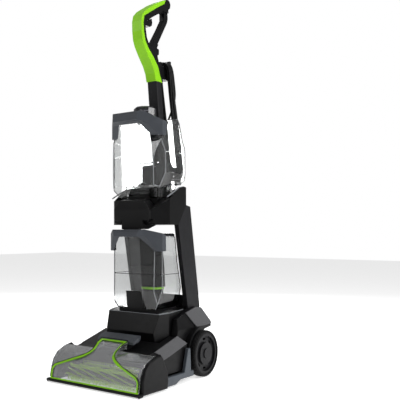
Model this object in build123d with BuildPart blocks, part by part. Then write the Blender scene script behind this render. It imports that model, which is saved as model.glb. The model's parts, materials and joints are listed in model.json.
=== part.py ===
from build123d import *
import os
from math import atan2, cos, pi, radians, sin, tan

os.makedirs("parts", exist_ok=True)

# Upright carpet washer, in millimetres. X is its width, -Y its front and +Z up.
# The origin is on the floor at the middle of the footprint. Side outlines are given
# as (distance behind the nozzle's front edge, height above the floor).

# ---------------------------------------------------------------- driving dimensions
DEPTH = 404.0                 # nozzle's front edge to the lower cord hook
WALL = 3.0                    # moulded shell thickness
RUN = 0.05                    # radial running clearance on shafts

NOZZLE_HALF = 150.0           # half width of the clear window
CAP_OUT = 158.0               # outer face of the end caps
BODY_HALF = 140.0             # side walls of the foot
DECK_RISE = 15.3              # degrees that the deck rises towards the rear
RECESS_Z = 92.0               # floor of the recess under the basin

WHEEL_Y, WHEEL_Z = 316.0, 64.0
WHEEL_R = 64.0
TYRE_INNER_R = 56.0
WHEEL_IN, WHEEL_OUT = 126.0, 154.0
AXLE_R = 5.0

PIVOT_Y, PIVOT_Z = 305.0, 140.0
PIVOT_R = 8.0
CHEEK_IN, CHEEK_OUT = 104.0, 124.0
FRAME_IN, FRAME_OUT = 86.0, 100.0
INNER_HALF = 85.7             # half width of what sits between the pillars

FRONT_BRUSH_Y, REAR_BRUSH_Y = 44.0, 93.0
BRUSH_Z, BRUSH_R = 26.5, 23.5
BRUSH_CORE_R, BRUSH_SHAFT_R = 13.0, 4.0
MOTOR_Y, MOTOR_Z, MOTOR_R = 172.0, 60.0, 22.0
MOTOR_PULLEY_R, BRUSH_PULLEY_R = 9.0, 13.5

ROLLER_X, ROLLER_Y, ROLLER_R = 112.0, 136.0, 9.0

POLE_LEAN = 6.25              # degrees that the pole leans forward
POLE_WIDE, POLE_DEEP = 34.0, 32.0
POLE_FOOT_Y, POLE_FOOT_Z = 313.4, 540.0

TANK_WALL = 2.5
FAN_Y = 255.0

CORD_D = 6.0
HANK_TOP_Y, HANK_TOP_Z = 330.0, 888.0     # centre of the hank's upper bend
HANK_LOW_Y, HANK_LOW_Z = 381.0, 586.0     # centre of its lower bend
HANK_LEG_X = 22.0
HANK_WIDE, HANK_THICK = 12.0, 24.0

LIP = -DEPTH / 2


# ---------------------------------------------------------------- planes and helpers
def side(x):
    """Upright plane at x, seen from +X: (behind the lip, height)."""
    return Plane(origin=(x, LIP, 0), x_dir=(0, 1, 0), z_dir=(1, 0, 0))


def front(y):
    """Upright plane y behind the lip, facing forward: (x, height)."""
    return Plane(origin=(0, LIP + y, 0), x_dir=(1, 0, 0), z_dir=(0, -1, 0))


def level(z):
    """Horizontal plane at z: (x, behind the lip)."""
    return Plane(origin=(0, LIP, z), x_dir=(1, 0, 0), z_dir=(0, 0, 1))


def leaning(y, z, lean):
    """Plane centred on (0, y, z), its normal leaning forward from straight up by lean degrees."""
    tilt = radians(lean)
    return Plane(origin=(0, LIP + y, z), x_dir=(1, 0, 0), z_dir=(0, -sin(tilt), cos(tilt)))


def prism(plane, outline, amount, both=False, mode=Mode.ADD):
    """Add, cut or intersect the straight prism of a closed outline."""
    with BuildSketch(plane) as face:
        with BuildLine():
            Polyline(*outline, close=True)
        make_face()
    extrude(face.sketch, amount=amount, both=both, mode=mode)


def rod(plane, centre, radius, amount, both=False, mode=Mode.ADD):
    """Add or cut a round bar."""
    with BuildSketch(plane) as face:
        with Locations(centre):
            Circle(radius)
    extrude(face.sketch, amount=amount, both=both, mode=mode)


def block(plane, centre, width, height, amount, both=False, corner=0.0, mode=Mode.ADD):
    """Add or cut a bar of rectangular section, its corners rounded if asked."""
    with BuildSketch(plane) as face:
        with Locations(centre):
            if corner:
                RectangleRounded(width, height, corner)
            else:
                Rectangle(width, height)
    extrude(face.sketch, amount=amount, both=both, mode=mode)


def symmetric(right_half):
    """An outline given by its right half, closed by its mirror image about x = 0."""
    return list(right_half) + [(-x, y) for x, y in reversed(right_half)]


def finish(piece, name):
    """Label a finished piece and write it."""
    piece.part.label = name
    export_step(piece.part, f"parts/{name}.step")
    print(f"{name:22s} {piece.part.volume / 1000:9.1f} cm3")


SIDES = (("left", -1), ("right", 1))
TRIM_SCREWS = ((150, 20), (196, 23.5))

# ---------------------------------------------------------------- foot outlines
DECK = [(80, 32), (80, 84), (76, 85), (76, 88), (104, 94), (210, 123), (239, 100), (240, 32)]
DECK_VOID = [(60, 20), (60, 84.8), (84, 84.8), (104, 90), (208, 118.5), (235, 98), (236, 20)]
DECK_EDGE = [(124, -1.4), (137, -28.4), (137, -90), (170, -90), (170, 60), (124, 60)]
DECK_VOID_EDGE = [(120.5, -3), (133.5, -30), (133.5, -90), (170, -90), (170, 60), (120.5, 60)]
ACCENT_SLAB = [(127, 0), (140, -27), (140, -28.4), (137, -28.4), (124.3, -2.0), (124.3, 0)]
ACCENT = [(104, 94), (210, 123), (239, 100), (127, 72), (114, 90)]
CHEEK = [(205, 34), (213, 123), (223, 165), (268, 179), (325, 190), (352, 187), (386, 146), (388, 131),
         (352, 126), (340, 46), (300, 42), (262, 34)]
REAR_COVER = [(268, 179), (325, 190), (352, 187), (386, 146), (387, 139), (325, 134), (314, 130)]
REAR_COVER_SLAB = [(112, 192), (127, 137), (124, 137), (124, 136), (109, 191)]
CHEEK_BEVEL = [(109, 191), (124, 136), (170, 136), (170, 220), (101.1, 220)]
WINDOW_LINE = [(5, 10), (8, 26), (12, 48), (20, 66), (37, 80), (67, 90.5), (75, 92)]
WINDOW_INNER = [(75, 89), (67, 87.4), (38, 77), (22.5, 64), (15, 47), (11, 26), (8, 10)]
CHANNEL_LINE = [(5, 10), (8, 26), (12, 48), (20, 66), (37, 80), (50, 88), (62, 96), (76, 106), (97, 113)]
CHANNEL_INNER = [(97, 110), (77, 103.2), (63.5, 93.3), (51.5, 85), (38, 77), (22.5, 64), (15, 47), (11, 26),
                 (8, 10)]
CHANNEL_WALL = [(37, 80), (50, 88), (62, 96), (76, 106), (97, 113), (97, 94.5), (75, 92), (67, 90.5)]
TRIM_OUTER = [(96.5, 115.4), (75.2, 108.1), (60.8, 97.9), (48.8, 89.8), (36, 82), (18.2, 67.5), (9.8, 48.6),
              (5.8, 26.4), (2.9, 10)]
BELL = [(149, 8), (148.5, 34), (146, 41), (138, 49.5), (88, 67.5), (56, 79), (44, 86), (40, 93), (41, 102),
        (46, 118)]
END_CAP = [(13, 4), (14, 40), (22, 61), (38, 78), (67, 90), (91, 94), (100, 86), (118, 53), (125, 24),
           (121, 3)]
END_CAP_ROOT = [(20, 6), (20, 50), (34, 66), (67, 84), (88, 90), (97, 82), (114, 52), (121, 24), (118, 6)]
TRIM = [(126, 28), (126, 4), (171, 4), (192, 13), (257, 13), (255, 28), (243, 28), (240, 89), (229, 89),
        (211, 28)]

# across the deck, square to its slope: (x, above the slope)
DECK_ACROSS = Plane(origin=(0, LIP + 104, 94), x_dir=(1, 0, 0), z_dir=(0, -cos(radians(DECK_RISE)),
                    -sin(radians(DECK_RISE))))


def bell(inset):
    """Front outline of the window's suction channel, as a sketch on the plane of the lip."""
    with BuildSketch(front(0)) as outline:
        with BuildLine():
            Polyline(*symmetric(BELL), close=True)
        make_face()
        if inset:
            offset(amount=-inset, kind=Kind.INTERSECTION)
    return outline.sketch


# ---------------------------------------------------------------- foot
with BuildPart() as foot_chassis:
    # floor tray behind the brush chamber and the bulkhead, left open at the belt side
    prism(side(0), [(118, 8), (257, 20), (257, 24), (122, 12), (118, 12)], BODY_HALF - WALL, both=True)
    block(level(9), (3, 120), 242, 4, 74)
    for name, sign in SIDES:
        wall = [(20, 6), (20, 54), (36, 68), (79, 82), (79, 29), (257, 29), (257, 13), (125, 7)]
        prism(side(sign * (BODY_HALF - WALL)), wall, WALL * sign)
        prism(side(sign * CHEEK_IN), CHEEK, sign * (CHEEK_OUT - CHEEK_IN))
        prism(front(0), [(sign * x, z) for x, z in CHEEK_BEVEL], 500, both=True, mode=Mode.SUBTRACT)
        block(level(13), (sign * 122, 232), 30, 48, 14)
        with BuildSketch(side(sign * CHEEK_OUT)) as fender:
            with BuildLine():
                Polyline((WHEEL_Y, WHEEL_Z), (WHEEL_Y - 18, 200), (100, 200), (100, 14), (248, 14),
                         close=True)
            make_face()
            with Locations((WHEEL_Y, WHEEL_Z)):
                Circle(WHEEL_R + 11, mode=Mode.INTERSECT)
                Circle(WHEEL_R + 4, mode=Mode.SUBTRACT)
        extrude(fender.sketch, amount=sign * (BODY_HALF - CHEEK_OUT))
        block(level(2), (sign * ROLLER_X, ROLLER_Y), 30, 26, 18)
        block(level(0), (sign * ROLLER_X, ROLLER_Y), 14, 22, 30, mode=Mode.SUBTRACT)
        rod(side(sign * ROLLER_X), (ROLLER_Y, ROLLER_R), 2.5 + RUN, 12, both=True, mode=Mode.SUBTRACT)
    # axle beam between the cheeks, with the axle's bore
    block(side(0), (WHEEL_Y, WHEEL_Z), 26, 26, CHEEK_IN, both=True)
    prism(side(0), [(250, 19), (257, 20), (306, 54), (303, 60), (250, 24)], CHEEK_IN, both=True)
    rod(side(0), (WHEEL_Y, WHEEL_Z), AXLE_R, 200, both=True, mode=Mode.SUBTRACT)
    # seats of the pivot pins, brush shafts and trim screws
    rod(side(0), (PIVOT_Y, PIVOT_Z), PIVOT_R, CHEEK_OUT - 4, both=True, mode=Mode.SUBTRACT)
    for brush_y in (FRONT_BRUSH_Y, REAR_BRUSH_Y):
        rod(side(0), (brush_y, BRUSH_Z), BRUSH_SHAFT_R + 2, 160, both=True, mode=Mode.SUBTRACT)
    for screw in TRIM_SCREWS:
        rod(side(0), screw, 2, 160, both=True, mode=Mode.SUBTRACT)
    # saddle of the brush motor
    block(level(12), (-50, MOTOR_Y), 90, 24, MOTOR_Z - MOTOR_R - 12 + 3)
    rod(side(-112), (MOTOR_Y, MOTOR_Z), MOTOR_R, 124, mode=Mode.SUBTRACT)
finish(foot_chassis, "foot_chassis")

with BuildPart() as deck_void:
    prism(side(0), DECK_VOID, BODY_HALF, both=True)
    for name, sign in SIDES:
        prism(DECK_ACROSS, [(sign * x, up) for x, up in DECK_VOID_EDGE], 300, both=True, mode=Mode.SUBTRACT)

with BuildPart() as foot_cover:
    prism(side(0), DECK, BODY_HALF, both=True)
    for name, sign in SIDES:
        edge = [(sign * x, up) for x, up in DECK_EDGE]
        prism(DECK_ACROSS, edge, 300, both=True, mode=Mode.SUBTRACT)
        # room for the pivot cheeks
        block(level(20), (sign * (CHEEK_IN + CHEEK_OUT) / 2, 230), 20.4, 52, 120, mode=Mode.SUBTRACT)
    # recess that the basin sinks into, with its own floor and walls
    block(level(RECESS_Z), (0, 200), 2 * CHEEK_IN - 1, 84, 60, mode=Mode.SUBTRACT)
    add(deck_void.part, mode=Mode.SUBTRACT)
    block(level(RECESS_Z - WALL), (0, 196), 2 * CHEEK_IN - 1, 82, WALL)
    prism(side(0), [(155, 89), (155, 106), (158, 107), (158, 89)], CHEEK_IN, both=True)
    for name, sign in SIDES:
        prism(side(sign * (CHEEK_IN - 0.5)), [(155, 89), (155, 106), (204.5, 119), (204.5, 89)],
                                              sign * WALL)
    # throat behind the nozzle's channel, with the duct that leaves it upwards
    prism(side(0), [(98, 90), (98, 104), (134, 118), (134, 100)], 44, both=True)
    prism(side(0), [(97, 97), (97, 101), (120, 101), (120, 97)], 34, both=True, mode=Mode.SUBTRACT)
finish(foot_cover, "foot_cover")

for name, sign in SIDES:
    with BuildPart() as end_cap:
        prism(side(sign * (NOZZLE_HALF + 0.3)), END_CAP, sign * (CAP_OUT - NOZZLE_HALF - 0.3))
        outer_face = end_cap.faces().sort_by(Axis.X)[-1 if sign > 0 else 0]
        fillet(outer_face.edges(), radius=5)
        prism(side(sign * BODY_HALF), END_CAP_ROOT, sign * (NOZZLE_HALF + 0.3 - BODY_HALF))
        for brush_y in (FRONT_BRUSH_Y, REAR_BRUSH_Y):
            rod(side(0), (brush_y, BRUSH_Z), BRUSH_SHAFT_R + RUN, 151, both=True, mode=Mode.SUBTRACT)
    finish(end_cap, f"end_cap_{name}")

    with BuildPart() as accent_panel:
        prism(side(sign * 118), ACCENT, sign * 26)
        slab = [(sign * x, up) for x, up in ACCENT_SLAB]
        prism(DECK_ACROSS, slab, 300, both=True, mode=Mode.INTERSECT)
    finish(accent_panel, f"accent_panel_{name}")

    with BuildPart() as side_trim:
        prism(side(sign * BODY_HALF), TRIM, sign * 9)
        chamfer(side_trim.faces().sort_by(Axis.X)[-1 if sign > 0 else 0].edges(), length=1.2)
        for screw in TRIM_SCREWS:
            rod(side(0), screw, 2, 146, both=True, mode=Mode.SUBTRACT)
    finish(side_trim, f"side_trim_{name}")

    with BuildPart() as rear_cover:
        prism(side(sign * 100), REAR_COVER, sign * 30)
        slab = [(sign * x, z) for x, z in REAR_COVER_SLAB]
        prism(front(0), slab, 500, both=True, mode=Mode.INTERSECT)
    finish(rear_cover, f"rear_cover_{name}")

with BuildPart() as front_lip:
    prism(side(0), [(0, 3), (0, 7), (3, 9.5), (11, 9.5), (11, 3)], CAP_OUT, both=True)
    for name, sign in SIDES:
        rod(front(13), (sign * (CAP_OUT - 3), 6.2), 4.6, 13)
    block(front(30), (0, 6), 400, 30, 17, mode=Mode.SUBTRACT)
finish(front_lip, "front_lip")

with BuildPart() as spray_bar:
    block(side(0), (108, 78), 10, 8, 110, both=True)
    with Locations(*[Pos(x, LIP + 108, 71) for x in (-82, -28, 28, 82)]):
        Cone(3, 5, 6)
finish(spray_bar, "spray_bar")

with BuildPart() as brush_motor:
    rod(side(-112), (MOTOR_Y, MOTOR_Z), MOTOR_R, 112)
    rod(side(0), (MOTOR_Y, MOTOR_Z), 9, 8)
    fillet(brush_motor.edges().filter_by(GeomType.CIRCLE).group_by(SortBy.RADIUS)[-1], radius=2)
    rod(side(-112), (MOTOR_Y, MOTOR_Z), 3 + RUN, 30, mode=Mode.SUBTRACT)
finish(brush_motor, "brush_motor")

with BuildPart() as motor_pulley:
    rod(side(-132), (MOTOR_Y, MOTOR_Z), MOTOR_PULLEY_R, 8)
    rod(side(-132), (MOTOR_Y, MOTOR_Z), 3, 48)
finish(motor_pulley, "motor_pulley")


def belt(x, wide, centre_a, radius_a, centre_b, radius_b):
    """Add a closed belt that runs just clear of two pulleys."""
    for grow, mode in ((2.3, Mode.ADD), (0.5, Mode.SUBTRACT)):
        with BuildSketch(side(x)) as loop:
            with Locations(centre_a):
                Circle(radius_a + grow)
            with Locations(centre_b):
                Circle(radius_b + grow)
            make_hull()
        extrude(loop.sketch, amount=wide, mode=mode)


with BuildPart() as drive_belts:
    belt(-131, 5, (MOTOR_Y, MOTOR_Z), MOTOR_PULLEY_R, (REAR_BRUSH_Y, BRUSH_Z), BRUSH_PULLEY_R)
    belt(-123.5, 5, (FRONT_BRUSH_Y, BRUSH_Z), BRUSH_PULLEY_R, (REAR_BRUSH_Y, BRUSH_Z), BRUSH_PULLEY_R)
finish(drive_belts, "drive_belts")

for name, brush_y, pulley_start in (("front", FRONT_BRUSH_Y, -124), ("rear", REAR_BRUSH_Y, -131.5)):
    with BuildPart() as brush_roll:
        rod(side(-116), (brush_y, BRUSH_Z), BRUSH_CORE_R, 248)
        rod(side(0), (brush_y, BRUSH_Z), BRUSH_SHAFT_R, 150, both=True)
        rod(side(pulley_start), (brush_y, BRUSH_Z), BRUSH_PULLEY_R, -116 - pulley_start)
        with BuildSketch(side(-112)) as bristles:
            with Locations((brush_y, BRUSH_Z)):
                with PolarLocations(0, 6):
                    Rectangle(BRUSH_R - 0.2, 4, align=(Align.MIN, Align.CENTER))
        extrude(bristles.sketch, amount=240)
    finish(brush_roll, f"{name}_brush_roll")

with BuildPart() as wheel_axle:
    rod(side(0), (WHEEL_Y, WHEEL_Z), AXLE_R, WHEEL_OUT - 6, both=True)
finish(wheel_axle, "wheel_axle")

for name, sign in SIDES:
    with BuildPart() as tyre:
        rod(side(sign * WHEEL_IN), (WHEEL_Y, WHEEL_Z), WHEEL_R, sign * (WHEEL_OUT - WHEEL_IN))
        fillet(tyre.edges().filter_by(GeomType.CIRCLE), radius=5)
        rod(side(0), (WHEEL_Y, WHEEL_Z), TYRE_INNER_R, 200, both=True, mode=Mode.SUBTRACT)
    finish(tyre, f"tyre_{name}")

    with BuildPart() as wheel_hub:
        rod(side(sign * 130), (WHEEL_Y, WHEEL_Z), TYRE_INNER_R, sign * 22)
        # stepped face with a dished ring and a raised middle
        with BuildSketch(side(sign * 152)) as ring:
            with Locations((WHEEL_Y, WHEEL_Z)):
                Circle(48)
                Circle(31, mode=Mode.SUBTRACT)
        extrude(ring.sketch, amount=-sign * 7, mode=Mode.SUBTRACT)
        with BuildSketch(side(sign * 152)) as slots:
            with Locations((WHEEL_Y, WHEEL_Z)):
                with PolarLocations(40, 8):
                    SlotOverall(14, 6, rotation=90)
        extrude(slots.sketch, amount=-sign * 30, mode=Mode.SUBTRACT)
        rod(side(sign * 152), (WHEEL_Y, WHEEL_Z), 14, sign * 3)
        rod(side(0), (WHEEL_Y, WHEEL_Z), AXLE_R + RUN, WHEEL_OUT - 5.5, both=True, mode=Mode.SUBTRACT)
    finish(wheel_hub, f"wheel_hub_{name}")

    with BuildPart() as roller:
        rod(side(sign * ROLLER_X), (ROLLER_Y, ROLLER_R), ROLLER_R, 6, both=True)
        rod(side(sign * ROLLER_X), (ROLLER_Y, ROLLER_R), 2.5, 11, both=True)
    finish(roller, f"front_roller_{name}")

with BuildPart() as pivot_pins:
    for name, sign in SIDES:
        rod(side(sign * (FRAME_IN + 0.5)), (PIVOT_Y, PIVOT_Z), PIVOT_R, sign * (CHEEK_OUT - 4.5 - FRAME_IN))
finish(pivot_pins, "pivot_pins")

with BuildPart() as foot_screws:
    for name, sign in SIDES:
        for screw in TRIM_SCREWS:
            rod(side(sign * 134.5), screw, 4, sign * 2.5)
            rod(side(sign * 136), screw, 2, sign * 9)
finish(foot_screws, "foot_screws")

# ---------------------------------------------------------------- nozzle
with BuildPart() as window_front:
    prism(side(0), WINDOW_LINE + WINDOW_INNER, NOZZLE_HALF, both=True)
    extrude(bell(WALL), amount=120, both=True, mode=Mode.SUBTRACT)
with BuildPart() as channel_skin:
    prism(side(0), CHANNEL_LINE + CHANNEL_INNER, NOZZLE_HALF, both=True)
    extrude(bell(0), amount=120, both=True, mode=Mode.INTERSECT)
with BuildPart() as channel_wall:
    prism(side(0), CHANNEL_WALL, NOZZLE_HALF, both=True)
    extrude(bell(0), amount=120, both=True, mode=Mode.INTERSECT)
    extrude(bell(WALL), amount=120, both=True, mode=Mode.SUBTRACT)
with BuildPart() as window_trim:
    prism(side(0), CHANNEL_LINE + TRIM_OUTER, NOZZLE_HALF, both=True)
    extrude(bell(0.5), amount=120, both=True, mode=Mode.INTERSECT)
    extrude(bell(5.5), amount=120, both=True, mode=Mode.SUBTRACT)
with BuildPart() as nozzle_window:
    add(window_front.part)
    add(channel_skin.part)
    add(channel_wall.part)
finish(nozzle_window, "nozzle_window")
finish(window_trim, "window_trim")

with BuildPart() as nozzle_latch:
    prism(side(0), [(99, 106), (99, 114), (103, 117), (130, 128), (134, 126), (134, 119)], 66, both=True)
    prism(level(90), symmetric([(60, 90), (66, 118), (58, 140)]), 60, mode=Mode.INTERSECT)
    prism(side(0), [(112, 114), (112, 119), (120, 122.4), (120, 117)], 12, both=True, mode=Mode.SUBTRACT)
finish(nozzle_latch, "nozzle_latch")

# ---------------------------------------------------------------- upright body outlines
PILLAR = [(256, 424), (303, 187), (287, 165), (281, 140), (288, 124), (305, 116), (322, 124), (345, 150),
          (365, 189), (317, 477), (296, 481)]
CROSS_BAR = [(331, 152), (345, 152), (362, 187), (350, 187), (331, 170)]
BASIN = [(184, 97), (166, 103), (160, 131), (179, 180), (215, 183), (279, 187), (299, 189), (299, 225),
         (311, 225), (330, 187), (330, 128), (290, 126), (232, 97)]
BASIN_VOID = [(187, 101), (170, 106), (164.5, 131), (182, 176), (279, 182.5), (296, 184), (303, 190),
              (326, 184), (326, 132), (289, 130), (230, 101)]
BASIN_PLAN = [(78, 150), (100, 208), (100, 279), (INNER_HALF, 279), (INNER_HALF, 340)]
BASIN_VOID_PLAN = [(74.5, 154), (96, 210), (96, 275), (82, 275), (82, 340)]
HOUSING = [(172, 437), (168, 466), (171, 492), (178, 494), (205, 502), (262, 529), (284, 533), (296, 531),
           (296, 481.5), (255.6, 424.5), (186, 424.5)]
HOUSING_PLAN = [(61, 160), (63, 174), (100, 214), (100, 310)]
HOUSING_WEB = [(255.6, 424.5), (325, 424.5), (317, 478), (296, 505), (290, 497), (280, 460)]
HOUSING_BLOCK = [(206, 495), (206, 523), (213, 530), (334, 530), (335, 500), (326, 424.5), (300, 424.5)]
PUMP_AT = (40, 250)
BODY_SCREWS = ((318, 145), (318, 175), (282, 440), (286, 455))

with BuildPart() as body_frame:
    for name, sign in SIDES:
        prism(side(sign * FRAME_IN), PILLAR, sign * (FRAME_OUT - FRAME_IN))
    prism(side(0), CROSS_BAR, FRAME_IN, both=True)
    rod(side(0), (PIVOT_Y, PIVOT_Z), PIVOT_R + RUN, 200, both=True, mode=Mode.SUBTRACT)
    for screw in BODY_SCREWS:
        rod(side(0), screw, 2, 95, both=True, mode=Mode.SUBTRACT)
finish(body_frame, "body_frame")

with BuildPart() as basin_form:
    prism(side(0), BASIN, 101, both=True)
    prism(level(100), symmetric(BASIN_PLAN), 200, mode=Mode.INTERSECT)
    # platform that carries the tank
    block(level(180), (0, 244), 130, 96, 9.9)
with BuildPart() as basin_void:
    prism(side(0), BASIN_VOID, 101, both=True)
    prism(level(100), symmetric(BASIN_VOID_PLAN), 200, mode=Mode.INTERSECT)
with BuildPart() as lower_basin:
    add(basin_form.part)
    add(basin_void.part, mode=Mode.SUBTRACT)
    # pump saddle and screw holes
    block(level(101), PUMP_AT, 50, 50, 37)
    for screw in BODY_SCREWS[:2]:
        rod(side(0), screw, 2, 95, both=True, mode=Mode.SUBTRACT)
finish(lower_basin, "lower_basin")

with BuildPart() as water_pump:
    block(level(138), PUMP_AT, 44, 40, 26, corner=6)
    rod(level(164), (PUMP_AT[0] - 8, PUMP_AT[1]), 7, 8)
    rod(front(PUMP_AT[1] - 20), (PUMP_AT[0] + 8, 150), 5, 12)
finish(water_pump, "water_pump")

with BuildPart() as mid_housing:
    prism(side(0), HOUSING, FRAME_OUT, both=True)
    prism(level(400), symmetric(HOUSING_PLAN), 200, mode=Mode.INTERSECT)
    for name, sign in SIDES:
        # shoulders that fall from the nose, then rise along the cradle's rim
        prism(side(sign * 62), [(140, 440), (180, 469), (262, 529), (262, 600), (140, 600)], sign * 50,
              mode=Mode.SUBTRACT)
        prism(front(205), [(sign * 40, 493), (sign * 62.1, 468), (sign * 62.1, 600), (sign * 40, 600)], 60,
              mode=Mode.SUBTRACT)
    for name, sign in SIDES:
        prism(front(180), [(sign * 48, 424), (sign * 61, 440), (sign * 80, 440), (sign * 80, 424)], 60,
              mode=Mode.SUBTRACT)
    # cradle for the clean tank
    prism(side(0), [(178, 497), (178, 600), (310, 600), (310, 497)], 96, both=True, mode=Mode.SUBTRACT)
    prism(side(0), HOUSING_WEB, INNER_HALF, both=True)
    prism(side(0), HOUSING_BLOCK, 38, both=True)
    # duct down to the dirty tank's lid
    prism(side(0), [(172, 412), (172, 438), (250, 438), (240, 424.5), (199, 412)], 37, both=True)
    # motor bay and its two screw pockets
    prism(side(0), [(222, 429), (290, 429), (290, 493), (222, 493)], 82, both=True, mode=Mode.SUBTRACT)
    prism(side(0), [(178, 441), (188, 429), (230, 429), (230, 489), (178, 489)], 36, both=True,
                    mode=Mode.SUBTRACT)
    prism(side(0), [(180, 416), (180, 432), (226, 432), (220, 424), (196, 416)], 33, both=True,
                    mode=Mode.SUBTRACT)
    for screw in BODY_SCREWS[2:]:
        rod(side(0), screw, 4, 82, both=True, mode=Mode.SUBTRACT)
        rod(side(0), screw, 2, 95, both=True, mode=Mode.SUBTRACT)
finish(mid_housing, "mid_housing")

with BuildPart() as vacuum_motor:
    rod(level(432), (0, FAN_Y), 29, 34)
    rod(level(429), (0, FAN_Y), 14, 4)
    fillet(vacuum_motor.edges().filter_by(GeomType.CIRCLE).group_by(SortBy.RADIUS)[-1], radius=3)
    rod(level(446), (0, FAN_Y), 3 + RUN, 40, mode=Mode.SUBTRACT)
finish(vacuum_motor, "vacuum_motor")

with BuildPart() as suction_fan:
    rod(level(471), (0, FAN_Y), 28, 2)
    rod(level(448), (0, FAN_Y), 3, 23)
    rod(level(473), (0, FAN_Y), 8, 10)
    with BuildSketch(level(473)) as blades:
        with Locations((0, FAN_Y)):
            with PolarLocations(17, 9):
                Rectangle(20, 1.6, rotation=35)
    extrude(blades.sketch, amount=9)
    rod(level(482), (0, FAN_Y), 28, 1.5)
finish(suction_fan, "suction_fan")

with BuildPart() as body_screws:
    for name, sign in SIDES:
        for screw in BODY_SCREWS:
            rod(side(sign * 79.5), screw, 3.8, sign * 2.4)
            rod(side(sign * 79.5), screw, 2, sign * 15)
finish(body_screws, "body_screws")

# ---------------------------------------------------------------- pole and handle
GRIP_BOUNDARY = [(296, 846), (284, 868), (276, 889), (251, 916), (229, 934), (213.5, 953), (207, 977),
                 (204, 1003), (208, 1025), (264, 1061), (308, 1087)]
GRIP_FRONT = [(315, 1099), (300, 1094), (266, 1076), (216, 1044), (199, 1027), (194, 1008), (195, 980),
              (199, 955), (207, 938), (225, 914), (247, 888), (258, 868), (263.5, 846)]
LOOP_BACK = [(315.2, 1099.2), (326, 1106), (335, 1107), (342, 1103), (346, 1095), (344, 1084), (335, 1076),
             (337, 1049), (333, 1036), (277, 949), (277, 927), (284, 908), (292, 882), (296.4, 846.2)]
LOOP_HOLE = [(219, 996), (226, 966), (241, 943), (251, 943), (294, 1004), (318, 1041), (318, 1062),
             (310, 1066), (298, 1059), (253, 1033), (226, 1015)]
LOOP_STRUT = [(248, 958), (300, 1036), (305, 1066), (360, 1066), (360, 958)]
TRIGGER_AT = (213, 1009)
BUTTON_Z = 938.0

with BuildPart() as spine_base:
    prism(side(0), [(250, 530.2), (250, 590), (260, 598), (324.5, 598), (331, 530.2)], 26, both=True)
    with BuildSketch(leaning(POLE_FOOT_Y, POLE_FOOT_Z, POLE_LEAN)) as socket:
        RectangleRounded(POLE_WIDE, POLE_DEEP - 4, 5)
    extrude(socket.sketch, amount=80, mode=Mode.SUBTRACT)
    chamfer(spine_base.faces().sort_by(Axis.Y)[0].edges().filter_by(Axis.Z), length=6)
finish(spine_base, "spine_base")

with BuildPart() as handle_pole:
    with BuildSketch(leaning(POLE_FOOT_Y, POLE_FOOT_Z, POLE_LEAN)) as section:
        RectangleRounded(POLE_WIDE, POLE_DEEP - 4, 5)
    extrude(section.sketch, amount=320)
    prism(side(0), [(200, 846), (400, 846), (400, 900), (200, 900)], 50, both=True, mode=Mode.SUBTRACT)
finish(handle_pole, "handle_pole")

with BuildPart() as handle_grip:
    prism(side(0), GRIP_FRONT[::-1] + GRIP_BOUNDARY[::-1], POLE_WIDE / 2, both=True)
    fillet(handle_grip.edges().filter_by(lambda edge: edge.center().Y < LIP + 195.5).filter_by(Axis.X),
           radius=4)
finish(handle_grip, "handle_grip")

with BuildPart() as handle_loop:
    prism(side(0), GRIP_BOUNDARY + LOOP_BACK, 13, both=True)
    prism(side(0), LOOP_HOLE, 30, both=True, mode=Mode.SUBTRACT)
    # the strut behind the hole is slimmer than the rest
    for name, sign in SIDES:
        prism(side(sign * 9), LOOP_STRUT, sign * 10, mode=Mode.SUBTRACT)
    # pocket that the trigger swings in
    rod(side(0), TRIGGER_AT, 6.6, 8.4, both=True, mode=Mode.SUBTRACT)
    prism(side(0), [(213, 1003), (235, 1003), (275, 1044), (262, 1051), (210, 1017)], 8.4, both=True,
          mode=Mode.SUBTRACT)
    rod(side(0), TRIGGER_AT, 2, 11.5, both=True, mode=Mode.SUBTRACT)
    # well of the power button
    block(front(290), (0, BUTTON_Z), 20.6, 20.6, 23, corner=5, mode=Mode.SUBTRACT)
finish(handle_loop, "handle_loop")

with BuildPart() as trigger:
    rod(side(0), TRIGGER_AT, 5.5, 8, both=True)
    prism(side(0), [(212, 1004), (226, 1003), (249, 1004), (257, 1010), (259, 1020), (256, 1030),
                    (249, 1027), (226, 1013), (212, 1013)], 8, both=True)
    # moulded trunnions
    rod(side(0), TRIGGER_AT, 2 - RUN, 11.3, both=True)
finish(trigger, "trigger")

with BuildPart() as power_button:
    block(front(291), (0, BUTTON_Z), 20, 20, 20, corner=5)
    fillet(power_button.faces().sort_by(Axis.Y)[-1].edges(), radius=2)
finish(power_button, "power_button")

UPPER_HOOK = [(284.6, 907), (301, 911), (305, 898), (341, 898), (344, 921), (351, 921), (352, 866),
              (342, 860), (294.8, 860), (292.6, 882)]
LOWER_HOOK = [(311.5, 690), (318, 690), (328, 640), (360, 600), (398, 600), (404, 594), (404, 548),
              (397.5, 548), (396, 576), (362, 576), (341, 553), (329.2, 553), (325, 598), (321.8, 598)]

with BuildPart() as upper_cord_hook:
    prism(side(0), UPPER_HOOK, 11, both=True)
finish(upper_cord_hook, "upper_cord_hook")

with BuildPart() as lower_cord_hook:
    prism(side(0), LOWER_HOOK, 11, both=True)
finish(lower_cord_hook, "lower_cord_hook")

# ---------------------------------------------------------------- clean water tank
CLEAN_SIDE = [(205, 499), (178, 534), (178, 607), (181, 627), (201, 685), (206, 712), (213, 717),
              (276, 727), (286, 713), (300, 664), (312, 617), (317, 568), (311, 556), (294, 544),
              (270, 536), (262, 499)]
CLEAN_PLAN = [(68, 176), (94, 203), (94, 300), (74, 320)]
CLEAN_FRONT = [(66, 499), (82, 530), (94, 570), (94, 628), (85, 662), (85, 727)]
CAP_Y = 234.0
CAP_R = 33.0


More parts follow.
